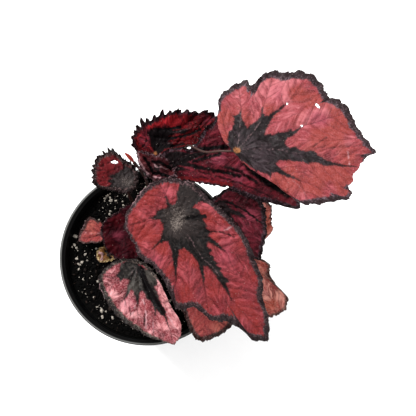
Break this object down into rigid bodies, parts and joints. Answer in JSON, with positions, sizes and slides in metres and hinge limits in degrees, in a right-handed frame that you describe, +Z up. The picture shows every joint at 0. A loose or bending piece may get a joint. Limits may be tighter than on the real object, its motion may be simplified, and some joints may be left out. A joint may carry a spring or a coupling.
{
  "type": "potted rex begonia",
  "caption": "Round tapered nursery pot filled with soil, carrying a leafy rex begonia whose broad red leaves lean out over one side of the rim.",
  "frame": {"origin": "centre of the pot's flat underside, on the surface that the pot stands on", "axes": "+Z up along the pot's axis; +X towards the side that the tall leaves lean over; +Y completes a right-handed frame"},
  "size_m": [0.1819, 0.1454, 0.162],
  "materials": {
    "pot_plastic": "black moulded plastic, slightly glossy",
    "soil": "moist dark potting mix of bark and peat with pale grains",
    "rhizome": "rough brown creeping stem",
    "petiole": "smooth red-brown stalk with fine pale hairs",
    "rose_blade": "rose-red leaf with a dark star and dark margin, satin sheen",
    "pink_blade": "pink leaf with a dark star, satin sheen",
    "maroon_blade": "dark maroon leaf, satin sheen",
    "young_blade": "grey-pink young leaf with a frilled margin",
    "salmon_blade": "pale salmon leaf",
    "dried_blade": "brittle tan dried leaf",
    "red_bud": "bright red bud sheath"
  },
  "bodies": {
    "root": {"nursery_pot": "pot_plastic", "potting_soil": "soil", "rhizome": "rhizome", "upper_right_leaf_blade": "rose_blade", "upper_right_leaf_petiole": "petiole", "front_leaf_blade": "rose_blade", "front_leaf_petiole": "petiole", "lower_left_leaf_blade": "pink_blade", "lower_left_leaf_petiole": "petiole", "toothed_upper_leaf_blade": "maroon_blade", "toothed_upper_leaf_petiole": "petiole", "folded_middle_leaf_blade": "maroon_blade", "folded_middle_leaf_petiole": "petiole", "frilled_left_leaf_blade": "maroon_blade", "frilled_left_leaf_petiole": "petiole", "maroon_left_leaf_blade": "maroon_blade", "maroon_left_leaf_petiole": "petiole", "right_side_leaf_blade": "maroon_blade", "right_side_leaf_petiole": "petiole", "lower_right_leaf_blade": "salmon_blade", "lower_right_leaf_petiole": "petiole", "bottom_leaf_blade": "rose_blade", "bottom_leaf_petiole": "petiole", "crumpled_young_leaf_blade": "young_blade", "crumpled_young_leaf_petiole": "petiole", "soil_level_leaf_blade": "salmon_blade", "soil_level_leaf_petiole": "petiole", "dried_leaf": "dried_blade", "red_bud": "red_bud", "red_bud_stalk": "petiole"}
  },
  "joints": []
}
